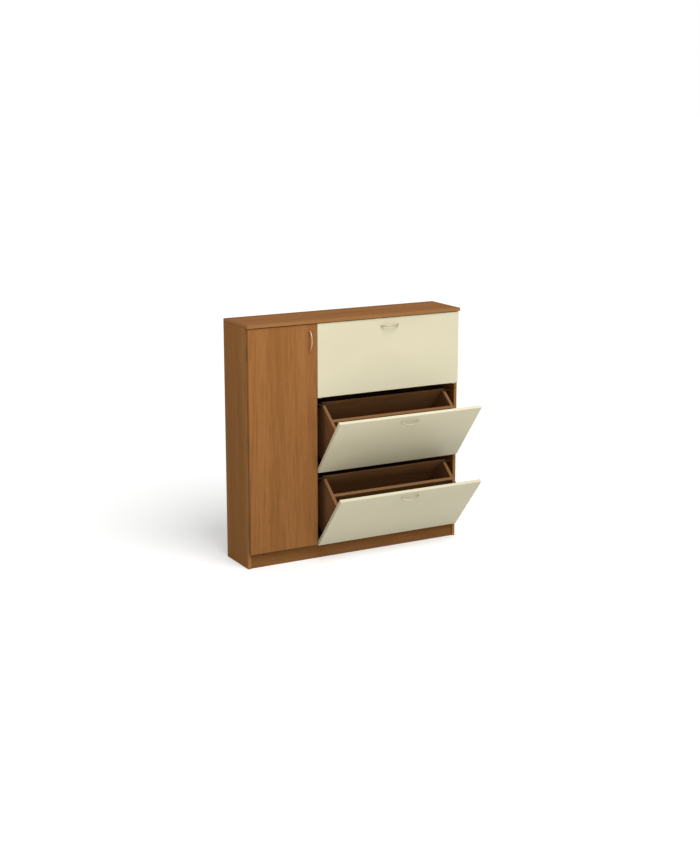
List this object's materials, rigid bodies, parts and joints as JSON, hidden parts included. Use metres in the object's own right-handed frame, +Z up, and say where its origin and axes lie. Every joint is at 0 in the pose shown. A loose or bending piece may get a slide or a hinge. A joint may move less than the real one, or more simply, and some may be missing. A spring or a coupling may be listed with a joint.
{
  "type": "shoe cabinet",
  "caption": "Upright wooden shoe cabinet with a narrow door on the left and cream tip-out bins for shoes stacked beside it, some tipped open.",
  "frame": {"origin": "middle of the underside of the front plinth board, on the floor", "axes": "+X to the right seen from the front, +Y to the back towards the wall, +Z up"},
  "size_m": [1.2, 0.5023, 1.214],
  "materials": {
    "wood_laminate": "satin",
    "cream_laminate": "satin",
    "hardboard": "matte",
    "dowel_wood": "matte",
    "satin_steel": "satin",
    "zinc_steel": "satin",
    "bronzed_steel": "satin",
    "rubber": "matte",
    "dark_plastic": "matte"
  },
  "bodies": {
    "cabinet": {"left_side": "wood_laminate", "right_side": "wood_laminate", "partition": "wood_laminate", "top_panel": "wood_laminate", "bottom_panel": "wood_laminate", "plinth_front": "wood_laminate", "plinth_back": "wood_laminate", "cross_rail_upper": "wood_laminate", "cross_rail_lower": "wood_laminate", "back_panel_left": "hardboard", "back_panel_right": "hardboard", "shelf_upper": "wood_laminate", "shelf_middle": "wood_laminate", "shelf_lower": "wood_laminate", "shelf_pins": "zinc_steel", "board_dowels": "dowel_wood", "hinge_side_leaves": "bronzed_steel", "hinge_pins": "bronzed_steel", "carcass_screws": "zinc_steel", "catch_body": "dark_plastic", "pivot_brackets": "zinc_steel", "pivot_pins": "zinc_steel", "stop_pegs": "zinc_steel", "stop_sleeves": "rubber", "front_bumpers": "rubber"},
    "door": {"door_panel": "wood_laminate", "door_handle": "satin_steel", "door_screws": "zinc_steel", "hinge_door_leaves": "bronzed_steel", "catch_plate": "zinc_steel"},
    "upper_bin": {"upper_front": "cream_laminate", "upper_bin_left": "wood_laminate", "upper_bin_right": "wood_laminate", "upper_bin_back": "wood_laminate", "upper_bin_floor": "wood_laminate", "upper_bin_divider": "wood_laminate", "upper_handle": "satin_steel", "upper_screws": "zinc_steel", "upper_pivot_plates": "zinc_steel"},
    "middle_bin": {"middle_front": "cream_laminate", "middle_bin_left": "wood_laminate", "middle_bin_right": "wood_laminate", "middle_bin_back": "wood_laminate", "middle_bin_floor": "wood_laminate", "middle_bin_divider": "wood_laminate", "middle_handle": "satin_steel", "middle_screws": "zinc_steel", "middle_pivot_plates": "zinc_steel"},
    "lower_bin": {"lower_front": "cream_laminate", "lower_bin_left": "wood_laminate", "lower_bin_right": "wood_laminate", "lower_bin_back": "wood_laminate", "lower_bin_floor": "wood_laminate", "lower_bin_divider": "wood_laminate", "lower_handle": "satin_steel", "lower_screws": "zinc_steel", "lower_pivot_plates": "zinc_steel"}
  },
  "joints": [
    {"name": "door_hinge", "type": "hinge", "parent": "cabinet", "child": "door", "pos_m": [-0.5958, -0.0168, 0.6355], "axis": [0, 0, -1], "range_deg": [0, 120]},
    {"name": "upper_bin_pivot", "type": "hinge", "parent": "cabinet", "child": "upper_bin", "pos_m": [0.185, -0.024, 0.8235], "axis": [1, 0, 0], "range_deg": [0, 38]},
    {"name": "middle_bin_pivot", "type": "hinge", "parent": "cabinet", "child": "middle_bin", "pos_m": [0.185, -0.024, 0.4485], "axis": [1, 0, 0], "range_deg": [-38, 0]},
    {"name": "lower_bin_pivot", "type": "hinge", "parent": "cabinet", "child": "lower_bin", "pos_m": [0.185, -0.024, 0.0735], "axis": [1, 0, 0], "range_deg": [-40, 0]}
  ]
}
